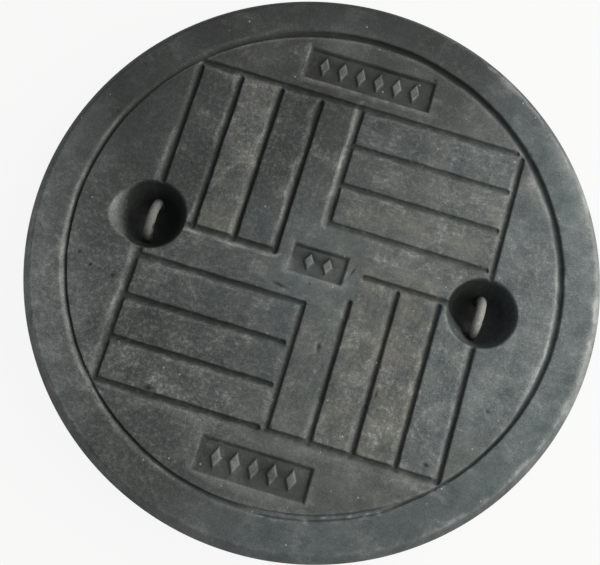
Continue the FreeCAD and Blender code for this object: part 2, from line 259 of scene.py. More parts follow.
def weaveWear(x, y, wander):  # depth, dirt with painted shade, lip, and pale places with a painted highlight on the lips that face the light, of the weave's grooves
    depth, dirtAndShade, lip, paleWearAndLight = (np.zeros_like(x) for _ in range(4))
    for a, b, kept, black in lines:
        away = np.abs(lineAway(x, y, a, b) + wander)
        length = math.hypot(b[0] - a[0], b[1] - a[1])
        nx, ny = (a[1] - b[1]) / length, (b[0] - a[0]) / length
        side = np.sign((x - a[0]) * nx + (y - a[1]) * ny)
        deep, darkened, pale = grooveShape(x, y, away, nx * side, ny * side)
        depth = np.maximum(depth, kept * deep)
        dirtAndShade = np.maximum(dirtAndShade, black * darkened)
        lip = np.maximum(lip, pale)
        if (a[1] == b[1] == 0 and a[0] < 0) or (a[0] == b[0] == 0 and a[1] > 0):  # lips rubbed the most, and painted paler on the bank that faces the light
            thin = hump(away, 6.2, 1.4) * (nx * side + 0.3 * ny * side < 0)
            paleWearAndLight = np.maximum(paleWearAndLight, thin * (0.3 + 0.6 * patchy(x, y, 12, 27)))
        if a[0] == b[0] == -slab["weaveHalf"] and min(a[1], b[1]) < 0:  # a broad pale lip outside the weave: a painted highlight on the bank that faces the light
            thin = hump(away, 6.8, 2.2) * (x < a[0])
            paleWearAndLight = np.maximum(paleWearAndLight, thin * 0.55 * patchy(x, y, 10, 32))
        if a[1] == b[1] == -slab["weaveHalf"]:  # the groove under the weave has a long worn bank
            below = (a[1] - y + wander) / slab["bankWidth"]
            near = (below > 0) * (away < slab["bankWidth"] + 3)
            depth = np.maximum(depth, slab["bankDepth"] * smooth(1.1 - below) * near)
            paleWearAndLight = np.maximum(paleWearAndLight, 0.95 * hump(below, 1, 0.2) * near * patchy(x, y, 14, 28))
    return depth, dirtAndShade, lip, paleWearAndLight


def ringWear(x, y, wander):  # depth, dirt with painted shade, lip, and pale places of the ring groove, with a painted highlight on the lips that face the light
    r, angle = np.hypot(x, y), np.degrees(np.arctan2(y, x)) % 360
    kept, width, black = (byAngle(name, angle) for name in ("ringKept", "ringWidth", "ringDirtAndShade"))
    away = np.abs(r - slab["ringRadius"] + wander) / width
    side = np.sign(r - slab["ringRadius"])
    deep, darkened, pale = grooveShape(x, y, away, x / (r + 1) * side, y / (r + 1) * side)
    filled = smooth((angle - slab["groutFrom"]) / 8) * smooth((slab["groutTo"] - angle) / 7)
    edges = filled * hump(away, 3.2, 0.9)
    depth = kept * deep * (1 - filled) + 1.5 * edges
    dirtAndShade = black * darkened * (1 - filled) + 0.5 * edges
    crumbs = filled * hump(r - slab["ringRadius"], 1, 4) * smooth((patchy(x, y, 4, 41) - 0.72) / 0.08)
    # painted highlight: each lip is paler at the angles where it faces the light
    rubbedAndLit = (side > 0) * byAngle("outerLipLight", angle) * hump(away * width, 4.4, 1.8)
    rubbedAndLit += (side < 0) * byAngle("innerLipLight", angle) * hump(away, 4.9, 1.1)
    paleWearAndLight = np.maximum(0.9 * crumbs, rubbedAndLit * (0.6 + 0.4 * patchy(x, y, 9, 18)))
    return depth, dirtAndShade, pale * kept, paleWearAndLight


def panelWear(x, y, wander):  # depth, dirt with painted shade, and pale places of the sunk panels with their lozenges
    depth, dirtAndShade, rubbedAndLit = (np.zeros_like(x) for _ in range(3))
    u, v = x + 0.6 * wander, y + 0.6 * wander  # their edges wander less than a groove's
    wall = slab["panelDepth"] * math.tan(math.radians(slab["panelDraft"]))
    ramp = slab["lozengeRise"] * math.tan(math.radians(slab["lozengeDraft"]))
    for cx, cy, length, width, count in slab["panels"]:
        inset = np.minimum(length / 2 - np.abs(u - cx), width / 2 - np.abs(v - cy))
        sunk = slab["panelDepth"] * smooth((inset + 0.5) / (wall + 1.0))
        corner = hump(inset, wall, 1.8)
        halfHigh, halfWide = width / 2 - slab["lozengeMargin"], slab["lozengeWidth"] / 2
        for k in range(count):
            mx = cx - length / 2 + length / (count + 1) * (k + 1)
            inside = 1 - np.abs(u - mx) / halfWide - np.abs(v - cy) / halfHigh
            inside *= halfWide * halfHigh / math.hypot(halfWide, halfHigh)
            top = smooth((inside + 0.3) / (ramp + 0.6)) * (inset > 0)
            sunk = sunk - slab["lozengeRise"] * top
            corner = np.maximum(corner, hump(inside, -0.7, 1.1))
            rubbedAndLit = np.maximum(rubbedAndLit, top * (0.4 + 0.6 * hump(inside, ramp, 0.9)))
        # painted highlight on the lips along the bottom and left edges, which face the light
        rubbedAndLit = np.maximum(rubbedAndLit, 0.8 * hump(inset, -1.4, 1.1) * ((v < cy) | (u < cx - length / 2)))
        depth = np.maximum(depth, sunk)
        # dirt at the foot of the walls and lozenges, with painted shade heaviest along the top edge, which
        # faces away from the light
        dirtAndShade = np.maximum(dirtAndShade, corner * (inset > 0) * (0.35 + 0.65 * smooth((v - cy) / 12 + 0.6)))
    # the panels also darken with depth: painted shade
    dirtAndShade = np.maximum(0.08 * depth, 0.95 * dirtAndShade * (0.4 + 0.6 * patchy(x, y, 16, 38)))
    return depth, dirtAndShade, 0.9 * rubbedAndLit * (0.2 + 0.8 * patchy(x, y, 6, 37))


def dentWear(x, y):  # depth and dirt of the dents and pock marks
    depth, dirtAndShade = np.zeros_like(x), np.zeros_like(x)
    for dx, dy, long, wide, turn, deep in slab["dents"]:
        c, s = math.cos(math.radians(turn)), math.sin(math.radians(turn))
        away = np.hypot(((x - dx) * c + (y - dy) * s) / long, ((y - dy) * c - (x - dx) * s) / wide)
        depth = np.maximum(depth, deep * hump(away, 0, 1))
        dirtAndShade = np.maximum(dirtAndShade, 0.9 * hump(away, 0, 1))
    return depth, dirtAndShade


def bowlSunk(away, lip, steepest, broken):  # depth of a lifting pocket at a distance from its middle
    draft = math.radians(slab["pocketDraft"])
    rim, deep = slab["pocketRadius"], slab["pocketDepth"]
    ball = (rim * math.cos(draft) - deep * math.sin(draft)) / (1 - math.sin(draft))
    foot = ball * math.cos(draft)
    bottom = deep - ball + np.sqrt(np.maximum(ball ** 2 - np.minimum(away, foot) ** 2, 0))
    depth = np.where(away < foot, bottom, (rim - away) / math.tan(draft))
    inside = np.maximum(rim - away, 0)
    depth = np.minimum(depth, inside * np.minimum(steepest, 0.6 + inside / lip))
    cut = np.maximum(rim + broken - away, 0)  # the lip is broken away outside the rim here
    return np.maximum(depth, slab["brokenSlope"] * cut * smooth(cut / 4) * (away > rim - 5))


def pocketWear(x, y, wander):  # depth, painted shade in the pocket and painted light on its lit wall, then the share of groove darkening that is left
    depth, pocketShade, paleWearAndLight = (np.zeros_like(x) for _ in range(3))
    beside = np.ones_like(x)
    rim = slab["pocketRadius"]
    for (px, py), wall in zip(pocketMiddles, slab["pocketWalls"]):
        away = np.hypot(x - px, y - py)
        around = np.arctan2(y - py, x - px)
        # this share is 1 on the wall that faces the light and falls to 0 round the pocket
        towardLight = np.clip(np.cos(around - math.radians(wall["turn"])), 0, 1) ** 4
        lip = slab["pocketLip"] * (0.5 + patchy(x, y, 8, 15))
        steepest = slab["steepest"] - wall["gentler"] * towardLight ** 0.25
        sunk = bowlSunk(away + 0.4 * wander, lip, steepest, wall["broken"] * towardLight)
        # painted shade fills the pocket, darker with depth, and starts deeper on the wall that faces the
        # light
        kept = wall["litDepth"] * towardLight * (0.3 + 1.4 * patchy(x, y, 11, 24))
        dark = smooth((sunk - 0.5 - kept) / (3 + 2.2 * wall["litDepth"] * towardLight))
        dark = dark * smooth((rim - 0.6 - away) / (1.6 + wall["fade"] * towardLight))
        # a film of painted shade all over the inside
        film = wall["film"] * (0.65 + 0.3 * patchy(x, y, 9, 25)) * (1 - 0.3 * towardLight ** 0.5)
        dark = np.maximum(dark, film * smooth(sunk / 2))
        dark = dark * (1 - wall["thin"] * (0.5 + 0.5 * np.cos(around - math.radians(wall["thinTurn"]))))
        # painted light on the wall that faces the light
        pale = wall["pale"] * towardLight ** 0.5 * smooth(sunk / 1.5) * (1 - dark)
        pale = pale * (away < 50) * smooth((away - 26) / 16)
        # a painted highlight along that wall's edge
        edge = wall["edge"] * towardLight ** 0.25 * hump(away - rim, 0.6, 0.9) * patchy(x, y, 6, 36)
        depth = np.maximum(depth, sunk)
        pocketShade = np.maximum(pocketShade, dark)
        paleWearAndLight = np.maximum.reduce([paleWearAndLight, pale, edge])
        beside = beside * smooth((away - rim + 1.5) / 2)
    return depth, pocketShade, paleWearAndLight, beside


def rimWear(x, y, wander):  # depth, painted shade and pale places of the bevel and the border beside it: chips, pale skin, painted sheen and painted light
    r, angle = np.hypot(x, y), np.degrees(np.arctan2(y, x)) % 360
    wearAndShade = byAngle("rimWearAndShade", angle)
    bevelStart = slab["radius"] - slab["bevelWidth"]
    bevel = np.maximum(r - bevelStart + 0.8 * wander, 0)
    bevel = slab["bevelHeight"] * (bevel / slab["bevelWidth"]) ** 1.15
    chip = smooth((patchy(x, y, 8, 16) + 0.6 * patchy(x, y, 19, 17) - 0.9) / 0.25) * np.clip(wearAndShade, 0, 1)
    bevel = bevel + slab["chipDepth"] * chip * smooth((r - slab["chipsFrom"]) / 5)
    bevel = np.where(r > slab["radius"] - 0.01, slab["bevelHeight"], np.minimum(bevel, slab["bevelHeight"]))
    pale = smooth((r - slab["paleFrom"] - 5 * patchy(x, y, 7, 26)) / 5)
    pale = pale * smooth((wearAndShade - 0.55) / 0.4) * (0.45 + 0.55 * chip)
    broken = smooth((patchy(x, y, 9, 29) + 0.7 * patchy(x, y, 4, 30) - 0.75) / 0.35)
    arris = hump(r - bevelStart + 1.5 * wander, 0, 2.4) * smooth((wearAndShade + 0.05) / 0.6) * broken
    # painted sheen: two pale hazes on the border and rim, on the side that faces the light
    paintedSheen = np.maximum.reduce([hump(angle, middle, spread) * smooth((r - start) / fade)
                              for middle, spread, start, fade in slab["sheenPlaces"]])
    paintedSheen = paintedSheen * (0.35 + 0.65 * patchy(x, y, 13, 33))
    # painted light: the bevel is painted paler where it turns away from the lamp
    paintedBevelLight = byAngle("bevelPaintedLight", angle) * smooth((r - bevelStart) / 2) * (0.6 + 0.4 * patchy(x, y, 9, 42))
    # painted shade: black on the bevel where it faces away from the light, and a lighter band of it where
    # the wear is middling
    under = np.clip(-wearAndShade, 0, 1) + 0.45 * hump(wearAndShade, 0.42, 0.2)
    dirtAndShade = smooth((r - slab["rimShadeFrom"] - 2 * (wearAndShade > 0)) / 3) * under
    return bevel, dirtAndShade, np.maximum.reduce([pale, 0.8 * arris, 0.8 * paintedSheen, paintedBevelLight])


def faceDepth(x, y):  # how far the top lies under the face plane, and how it has aged, with its painted shade and painted light
    wander = (patchy(x, y, 9, 11) + patchy(x, y, 23, 12) - 1) * slab["edgeWander"]
    uneven = slab["unevenness"] * (0.6 * patchy(x, y, 55, 13) + 0.4 * patchy(x, y, 17, 14))
    weave, weaveDirtAndShade, weaveLip, weavePale = weaveWear(x, y, wander)
    ring, ringDirtAndShade, ringLip, ringPale = ringWear(x, y, wander)
    panel, panelDirtAndShade, panelPale = panelWear(x, y, wander)
    dent, dentDirt = dentWear(x, y)
    bowl, pocketShade, bowlPaintedLight, beside = pocketWear(x, y, wander)
    bevel, rimShade, rimPale = rimWear(x, y, wander)
    sunk = np.maximum.reduce([weave, ring, panel, dent, bowl, bevel])
    depth = sunk + uneven * np.clip(1 - sunk / 6, 0, 1)
    for lx, ly in legMiddles:  # the concrete was cast round the bars' legs
        hole = np.hypot(x - lx, y - ly) < slab["legHole"] + 0.1
        depth = np.where(hole, slab["faceHeight"] - slab["legFoot"] + 0.05, depth)
    # the grooves', panels' and dents' darkening is dirt with painted shade, and the rim's is painted shade
    dirtAndShade = np.clip(np.maximum.reduce([weaveDirtAndShade, ringDirtAndShade, panelDirtAndShade, dentDirt]), 0, 1)
    paleWearAndLight = np.maximum.reduce([weavePale, ringPale, panelPale, bowlPaintedLight, rimPale])
    return depth, {"groove": np.maximum(dirtAndShade * beside, rimShade), "pocketShade": pocketShade,
                   "lip": np.clip(np.maximum(weaveLip, ringLip), 0, 1), "paleWearAndLight": np.clip(paleWearAndLight, 0, 1)}


def circlePoints(cx, cy, radius, count):
    turn = np.linspace(0, 2 * math.pi, count, endpoint=False)
    return np.c_[cx + radius * np.cos(turn), cy + radius * np.sin(turn)]


def gridPoints(step, reach, seed):  # a loose grid that ends at a distance from the middle
    line = np.arange(-slab["radius"], slab["radius"] + 0.1, step)
    grid = np.stack(np.meshgrid(line, line), -1).reshape(-1, 2)
    grid = grid + np.random.RandomState(seed).uniform(-0.3, 0.3, grid.shape) * step
    return grid[np.hypot(grid[:, 0], grid[:, 1]) < reach]


def groovePoints():  # rows along the weave's grooves and the ring groove
    sets = []
    beside = np.array(slab["grooveRows"])
    rows = np.array(sorted({s * v for v in slab["grooveRows"] for s in (-1, 1)}))
    for i, (a, b, _, _) in enumerate(lines):
        dx, dy = b[0] - a[0], b[1] - a[1]
        length = math.hypot(dx, dy)
        dx, dy = dx / length, dy / length
        along = np.linspace(0, length, int(length / slab["grooveStep"]))[1:-1]
        along, row = np.meshgrid(np.r_[-beside[::-1], along, length + beside], rows)
        along, row = along.ravel(), row.ravel()
        x, y = a[0] + dx * along - dy * row, a[1] + dy * along + dx * row
        own = lineAway(x, y, a, b)
        others = np.min([lineAway(x, y, *line[:2]) for k, line in enumerate(lines) if k != i], axis=0)
        mine = (own <= others + 0.05) & (own < 11)  # where grooves meet, each keeps to its own half
        sets.append(np.c_[x, y][mine])
    return sets + [circlePoints(0, 0, slab["ringRadius"] + row, slab["ringColumns"]) for row in rows]


def panelPoints():  # rows along the panels' edges and round their lozenges
    sets = []
    for cx, cy, length, width, count in slab["panels"]:
        u = np.linspace(-1, 1, int(length / slab["panelStep"]))
        v = np.linspace(-1, 1, int(width / slab["panelStep"]))
        for inset in slab["panelRows"]:
            hl, hw = length / 2 - inset, width / 2 - inset
            for s in (-1, 1):
                sets.append(np.c_[cx + u * hl, np.full_like(u, cy + s * hw)])
                sets.append(np.c_[np.full_like(v, cx + s * hl), cy + v * hw])
        halfHigh, halfWide = width / 2 - slab["lozengeMargin"], slab["lozengeWidth"] / 2
        t = np.linspace(0, 1, 10)[:-1]
        for k in range(count):
            mx = cx - length / 2 + length / (count + 1) * (k + 1)
            for share in slab["lozengeRows"]:
                for sx, sy in ((1, 1), (-1, 1), (-1, -1), (1, -1)):
                    wide, high = (1 - t, t) if sx * sy > 0 else (t, 1 - t)
                    sets.append(np.c_[mx + sx * wide * halfWide * share, cy + sy * high * halfHigh * share])
    return sets


def topPoints():  # points laid along every feature, then a coarser grid between them
    sets = groovePoints() + panelPoints()
    for dx, dy, long, *_ in slab["dents"]:
        g = np.arange(-1.8 * long, 1.8 * long + 0.1, slab["dentStep"])
        sets.append(np.stack(np.meshgrid(dx + g, dy + g), -1).reshape(-1, 2))
    feature = np.concatenate(sets)
    keep = np.hypot(feature[:, 0], feature[:, 1]) < slab["radius"] - 14
    for px, py in pocketMiddles:  # the grooves stop where a pocket begins
        keep &= np.hypot(feature[:, 0] - px, feature[:, 1] - py) > slab["pocketRadius"] - 3.5
    bowlRows = np.r_[np.arange(0, 26, 1.6), np.arange(26, 46, 0.9), 47, 49]
    bowls = np.concatenate([circlePoints(px, py, radius, max(1, int(math.pi * radius)))
                            for px, py in pocketMiddles for radius in bowlRows])
    for lx, ly in legMiddles:
        bowls = bowls[np.hypot(bowls[:, 0] - lx, bowls[:, 1] - ly) > slab["legClear"]]
    hole = slab["legHole"]
    legs = [circlePoints(lx, ly, radius, slab["legColumns"] if radius else 1) for lx, ly in legMiddles
            for radius in (0.0, 3.5, hole, hole + 0.25, hole + 0.8)]
    feature = np.concatenate([feature[keep], bowls])
    _, first = np.unique(np.round(feature / slab["samePoint"]).astype(int), axis=0, return_index=True)
    feature = feature[np.sort(first)]  # points that share a cell are one point
    rim = [circlePoints(0, 0, radius, slab["columns"]) for radius in slab["rimRows"]]
    grid = gridPoints(slab["gridStep"], slab["gridReach"], slab["seed"])
    near = set(map(tuple, np.floor(feature / slab["gridClear"]).astype(int)))
    around = [(i, j) for i in (-1, 0, 1) for j in (-1, 0, 1)]
    free = [not any((cx + i, cy + j) in near for i, j in around)
            for cx, cy in np.floor(grid / slab["gridClear"]).astype(int)]
    return np.concatenate(rim + [feature, grid[np.array(free)]] + legs)


def triangles(points):
    verts, _, faces, _, _, _ = delaunay_2d_cdt([Vector(p) for p in points], [], [], 0, 1e-5)
    verts, faces = np.array([tuple(v) for v in verts]), np.array([tuple(f) for f in faces])
    a, b, c = (verts[faces[:, k]] for k in range(3))
    area = (b[:, 0] - a[:, 0]) * (c[:, 1] - a[:, 1]) - (b[:, 1] - a[:, 1]) * (c[:, 0] - a[:, 0])
    return verts, np.where((area < 0)[:, None], faces[:, ::-1], faces)


def markPlaces(piece, x, y, isTop):  # where the slats, trodden and worn places, damp with painted shade, and dust are
    reach = np.maximum(np.abs(x), np.abs(y))
    inWeave = isTop & (reach < slab["weaveHalf"] + 2)
    inPocket = np.min([np.hypot(x - px, y - py) for px, py in pocketMiddles], axis=0) < slab["pocketRadius"]
    addAttribute(piece, "slat", inWeave * (reach > slab["pitch"]) * ~inPocket)
    inRing = smooth((slab["ringRadius"] - np.hypot(x, y)) / 6)
    crossed = smooth((np.abs(y) - 90) / 110) * np.where(y > 0, 1, smooth((x + 90) / 110))
    dulled = 0.45 * smooth((60 - x) / 160)  # the border's skin is duller on this side
    trodden = inRing * (0.15 + 0.85 * crossed) + (1 - inRing) * dulled
    addAttribute(piece, "trodden", isTop * ~inWeave * trodden)
    alongY = (x * y) < 0  # slats run towards the top and bottom in these two blocks
    across, along = np.where(alongY, x, y), np.where(alongY, y, x)
    block = np.round(across / slab["pitch"] + 0.5) * 37 + alongY * 211  # each slat has its own streaks
    addAttribute(piece, "slatWay", np.c_[across * mm, along * 0.2 * mm, block * mm])
    worn = np.zeros_like(x)
    for name, slats in slab["wornSlats"].items():
        inBlock = ((y > 0) == name.startswith("upper")) & ((x > 0) == name.endswith("Right"))
        for k, amount in slats.items():
            worn += amount * inBlock * inWeave * (np.abs(np.abs(across) / slab["pitch"] + 0.5 - k) < 0.5)
    addAttribute(piece, "worn", worn)
    dampAndShade, dust = ((0.4 + 0.6 * isTop) * np.clip(sum(amount * hump(np.hypot(x - dx, y - dy), 0, wide)
                                                    for dx, dy, wide, amount in slab[name]), 0, 1)
                  for name in ("dampAndShadePlaces", "dustPlaces"))
    dampAndShade = dampAndShade * (1 - 0.6 * worn)
    addAttribute(piece, "dampAndShade", dampAndShade)
    addAttribute(piece, "dust", dust)
    addAttribute(piece, "dryAndUnshaded", 1 - 0.75 * dampAndShade)  # scuffs show less where damp and painted shade lie


def makeCover(material):
    top, topFaces = triangles(topPoints())
    depth, agedAndShaded = faceDepth(top[:, 0], top[:, 1])
    verts = [np.c_[top, slab["faceHeight"] - depth]]
    faces = topFaces.tolist()
    print("cover top:", len(top), "points,", len(faces), "triangles")

    edge = np.flatnonzero(np.hypot(top[:, 0], top[:, 1]) > slab["radius"] - 0.01)
    edge = edge[np.argsort(np.arctan2(top[edge, 1], top[edge, 0]))]
    turn = np.arctan2(top[edge, 1], top[edge, 0])
    run = turn * slab["radius"]  # mm along the edge
    sideTop = slab["faceHeight"] - slab["bevelHeight"]
    foot, chamfer = slab["footRadius"], slab["footChamfer"]
    rows = [(slab["radius"] + (foot - slab["radius"]) * s, sideTop + (chamfer - sideTop) * s)
            for s in slab["sideRows"]]
    rows += [(foot - slab["footMiddle"][0], slab["footMiddle"][1]), (foot - chamfer, 0)]
    count, total, previous = len(edge), len(top), edge
    sideAgedAndShaded = {name: [] for name in agedAndShaded}
    for radius, height in rows:
        level = np.full(count, float(height))
        dent = slab["sideDents"] * patchy(run, level, 26, 21) * (height > 4) * (height < 60)
        verts.append(np.c_[(radius - dent) * np.cos(turn), (radius - dent) * np.sin(turn), level])
        # the edge's dirt, painted shade, painted light and pale skin run down in streaks, and the foot is
        # splashed
        streaks = smooth((height - sideTop + 10 + 16 * patchy(run, level * 0.2, 14, 34)) / 26)
        for name in agedAndShaded:
            sideAgedAndShaded[name].append(agedAndShaded[name][edge] * streaks)
        splash = smooth((22 * patchy(run, np.zeros(count), 30, 35) + 4 - height) / 12)
        sideAgedAndShaded["groove"][-1] = np.maximum(sideAgedAndShaded["groove"][-1], 0.4 * splash)
        now = total + np.arange(count)
        for i in range(count):
            j = (i + 1) % count
            faces.append([int(previous[i]), int(now[i]), int(now[j]), int(previous[j])])
        previous = now
        total += count

    grid = gridPoints(slab["undersideStep"], foot - chamfer - 5, slab["seed"] + 1)
    under, underFaces = triangles(np.concatenate([verts[-1][:, :2], grid]))
    inner = np.hypot(under[:, 0], under[:, 1]) < foot - chamfer - 1
    lift = patchy(under[:, 0], under[:, 1], 60, 22) * patchy(under[:, 0], under[:, 1], 21, 23)
    outer = np.flatnonzero(~inner)
    index = np.zeros(len(under), int)
    index[outer[np.argsort(np.arctan2(under[outer, 1], under[outer, 0]))]] = previous
    index[inner] = total + np.arange(inner.sum())
    verts = np.concatenate(verts + [np.c_[under[inner], slab["undersideLift"] * lift[inner]]])
    faces += [[int(index[c]), int(index[b]), int(index[a])] for a, b, c in underFaces]

    piece = meshPiece("castSlab", verts, faces, material, "root", "cover_slab")
    for name, values in agedAndShaded.items():
        addAttribute(piece, name, np.concatenate([values, *sideAgedAndShaded[name], np.zeros(inner.sum())]))
    markPlaces(piece, verts[:, 0], verts[:, 1], np.arange(len(verts)) < len(top))
    print("cover slab:", len(verts), "points,", len(piece.data.polygons), "faces")


# the bent round bar that stands in each pocket, sizes in mm
bar = {"radius": 5.0, "archHeight": 45, "around": 28, "step": 2.0, "archSteps": 34, "hammered": 0.3}


def makeBars(material):
    verts, faces = [], []
    half = slab["legSpacing"] / 2
    legZ = np.arange(slab["legFoot"], bar["archHeight"], bar["step"])
    archTurn = np.linspace(0, math.pi, bar["archSteps"])
    path = [(-half, z, 0.0) for z in legZ]
    path += [(-half * math.cos(t), bar["archHeight"] + half * math.sin(t), t) for t in archTurn]
    path += [(half, z, math.pi) for z in legZ[::-1]]
    n, rings = bar["around"], len(path)
    around = np.linspace(0, 2 * math.pi, n, endpoint=False)
    for side, (px, py) in enumerate(pocketMiddles):
        start = len(verts)
        run = 0.0
        for k, (y, z, t) in enumerate(path):
            if k:
                run += math.hypot(y - path[k - 1][0], z - path[k - 1][1])
            dents = patchy(around * bar["radius"], np.full_like(around, run), 7, 31 + side)
            dents = np.where(np.arange(n) > n - 3, dents[:1], dents)  # the pattern closes round the bar
            radius = bar["radius"] - bar["hammered"] * dents
            outY, outZ = -math.cos(t), math.sin(t)
            for w, q in zip(around, radius):
                out = q * math.cos(w)
                verts.append((px + q * math.sin(w), py + y + out * outY, z + out * outZ))
        for k in range(rings - 1):
            for i in range(n):
                a, b = start + k * n + i, start + k * n + (i + 1) % n
                faces.append([a, b, b + n, a + n])
        faces.append([start + i for i in range(n)][::-1])
        faces.append([start + (rings - 1) * n + i for i in range(n)])
    meshPiece("liftingBars", verts, faces, material, "root", "lifting_bars")
    print("lifting bars:", len(verts), "points,", len(faces), "faces")


# dark concrete cast in a smooth mould: slate grey where the mould left its skin, browner and streaky where
# feet and wheels wore it, with rubbed lips carrying a painted highlight, grooves darkened by dirt and
# painted shade, painted shade in the pockets and on the side away from the light, pale scuffs and specks of
# stone
concrete = {
    # the damp colour also stands for painted shade on the side away from the light, the dirt colour for
    # painted shade in the grooves, panels and on the rim, and the next line's first colour for painted shade
    # in the pockets
    "slate": "#6a7578", "dampAndShade": "#353737", "earthy": "#767670", "pale": "#acb0ae", "dirtAndShade": "#282a28",
    "pocketShade": "#222524", "speck": "#c8c8c1", "pit": "#262827",
    # noises: size in mm, detail, roughness, distortion, and the levels that become 0 and 1
    # real sand is finer than 1.5 mm and is drawn as coarse as it needs to show
    "noises": {"patch": (85, 3.0, 0.5, 0.0, 0.38, 0.62), "cloud": (26, 7.0, 0.65, 0.15, 0.34, 0.66),
               "scuff": (34, 10.0, 0.74, 0.2, 0.50, 0.68), "sand": (1.5, 3.0, 0.6, 0.0, 0.30, 0.70),
               "fleck": (5, 7.0, 0.68, 0.0, 0.48, 0.74)},
    "slatNoises": {"streak": (3.2, 5.0, 0.6, 0.0, 0.36, 0.66), "grain": (1.3, 3.0, 0.6, 0.0, 0.34, 0.66)},
    # specks and pits: spacing in mm, radius as a share of it, the level that a cell's own tone has to pass
    "dots": {"speck": (16, 0.07, 0.5), "pit": (11, 0.1, 0.86)},
    # each mask is a sum of weighted products of fields, tone being how light the colour comes out
    "masks": {
        # damp, with painted shade where the slab lies away from the light
        "dampAndShade": [(0.12, "patch"), (0.65, "dampAndShade"), (0.35, "dampAndShade", "cloud")],
        "earthy": [(0.3, "slat", "cloud"), (0.3, "worn", "streak"), (0.3, "worn", "cloud"), (0.35, "worn"),
                   (0.1, "cloud"), (0.45, "trodden"), (0.2, "trodden", "cloud")],
        "pale": [(0.15, "scuff", "dryAndUnshaded"), (0.1, "scuff", "cloud"), (0.38, "scuff", "fleck", "dryAndUnshaded"),
                 (0.38, "worn", "scuff", "fleck"), (0.16, "slat", "streak", "scuff", "dryAndUnshaded"),
                 (0.16, "slat", "fleck", "scuff", "dryAndUnshaded"), (0.04, "sand"), (0.3, "dust", "fleck"),
                 (0.12, "dust", "cloud")],
        # pale lips and places: rubbed wear, crumbs and chips, with painted highlights and painted light
        "lip": [(0.18, "lip"), (0.5, "lip", "cloud", "sand"), (0.5, "lip", "streak", "grain"),
                (0.55, "paleWearAndLight"), (0.15, "paleWearAndLight", "sand"), (0.2, "paleWearAndLight", "cloud")],
        # dirt with painted shade in the grooves, panels and dents, and painted shade on the rim
        "dirtAndShade": [(0.78, "groove"), (0.44, "groove", "sand")],
        # painted shade inside the pockets
        "pocketShade": [(1.0, "pocketShade")],
        "speck": [(0.75, "speck")],
        "pit": [(1.0, "pit")],
        "tone": [(0.53,), (0.34, "sand"), (0.46, "cloud"), (0.15, "slat", "streak"), (0.12, "slat", "grain"),
                 (0.24, "slat", "fleck"), (-0.2, "slat"), (0.2, "dust", "sand"), (-0.1, "dust"),
                 (0.16, "fleck")],
    },
    "roughSkin": 0.66, "roughWorn": 0.9, "shine": 0.15,  # dusty, so far less than clean stone
    "heights": {"sand": 0.22, "streak": 0.06, "pit": -0.5}, "bump": 0.7,
}


def castConcrete():
    made, tree, shader = startMaterial("castConcrete")
    place = addNode(tree, "ShaderNodeTexCoord").outputs["Object"]
    fields = {name: addNode(tree, "ShaderNodeAttribute", attribute_name=name).outputs["Fac"] for name in (
        "groove", "pocketShade", "lip", "paleWearAndLight", "slat", "trodden", "worn", "dampAndShade", "dust", "dryAndUnshaded")}
    slatWay = addNode(tree, "ShaderNodeAttribute", attribute_name="slatWay").outputs["Vector"]
    for where, noises in ((place, concrete["noises"]), (slatWay, concrete["slatNoises"])):
        for name, (size, detail, rough, drawn, low, high) in noises.items():
            noise = addNode(tree, "ShaderNodeTexNoise", {
                "Vector": where, "Scale": 1 / (size * mm),
                "Detail": detail, "Roughness": rough, "Distortion": drawn})
            fields[name] = addNode(tree, "ShaderNodeMapRange", {
                "Value": noise.outputs["Fac"], "From Min": low, "From Max": high}).outputs[0]
    for name, (spacing, radius, least) in concrete["dots"].items():
        cells = addNode(tree, "ShaderNodeTexVoronoi", {"Vector": place, "Scale": 1 / (spacing * mm)}).outputs
        inside = addNode(tree, "ShaderNodeMapRange", {
            "Value": cells["Distance"], "From Min": radius, "From Max": radius * 0.4}).outputs[0]
        some = addNode(tree, "ShaderNodeMath", {0: cells["Color"], 1: least}, operation="GREATER_THAN")
        fields[name] = addNode(tree, "ShaderNodeMath", {0: inside, 1: some.outputs[0]},
                               operation="MULTIPLY").outputs[0]

    masks = {}
    for name, terms in concrete["masks"].items():
        total = None
        for weight, *factors in terms:
            product = weight
            for factor in factors:
                product = addNode(tree, "ShaderNodeMath", {0: fields[factor], 1: product},
                                  operation="MULTIPLY").outputs[0]
            total = product if total is None else addNode(
                tree, "ShaderNodeMath", {0: total, 1: product},
                operation="ADD", use_clamp=name != "tone").outputs[0]
        masks[name] = total

    colour = toLinear(concrete["slate"])
    for name in ("earthy", "dampAndShade", "pale", "lip", "dirtAndShade", "pocketShade", "speck", "pit"):
        tint = toLinear(concrete["pale" if name == "lip" else name])
        colour = addNode(tree, "ShaderNodeMix", {0: masks[name], 6: colour, 7: tint},
                         data_type="RGBA").outputs[2]
    colour = addNode(tree, "ShaderNodeHueSaturation", {"Value": masks["tone"], "Color": colour}).outputs[0]
    tree.links.new(colour, shader.inputs["Base Color"])

    rough = addNode(tree, "ShaderNodeMapRange", {
        "Value": masks["earthy"], "To Min": concrete["roughSkin"], "To Max": concrete["roughWorn"]})
    tree.links.new(rough.outputs[0], shader.inputs["Roughness"])
    shader.inputs["Specular IOR Level"].default_value = concrete["shine"]

    height = None
    for name, high in concrete["heights"].items():
        part = addNode(tree, "ShaderNodeMath", {0: fields[name], 1: high * mm},
                       operation="MULTIPLY").outputs[0]
        height = part if height is None else addNode(
            tree, "ShaderNodeMath", {0: height, 1: part}, operation="ADD").outputs[0]
    bump = addNode(tree, "ShaderNodeBump", {"Height": height, "Distance": 1.0, "Strength": concrete["bump"]})
    tree.links.new(bump.outputs["Normal"], shader.inputs["Normal"])
    return made


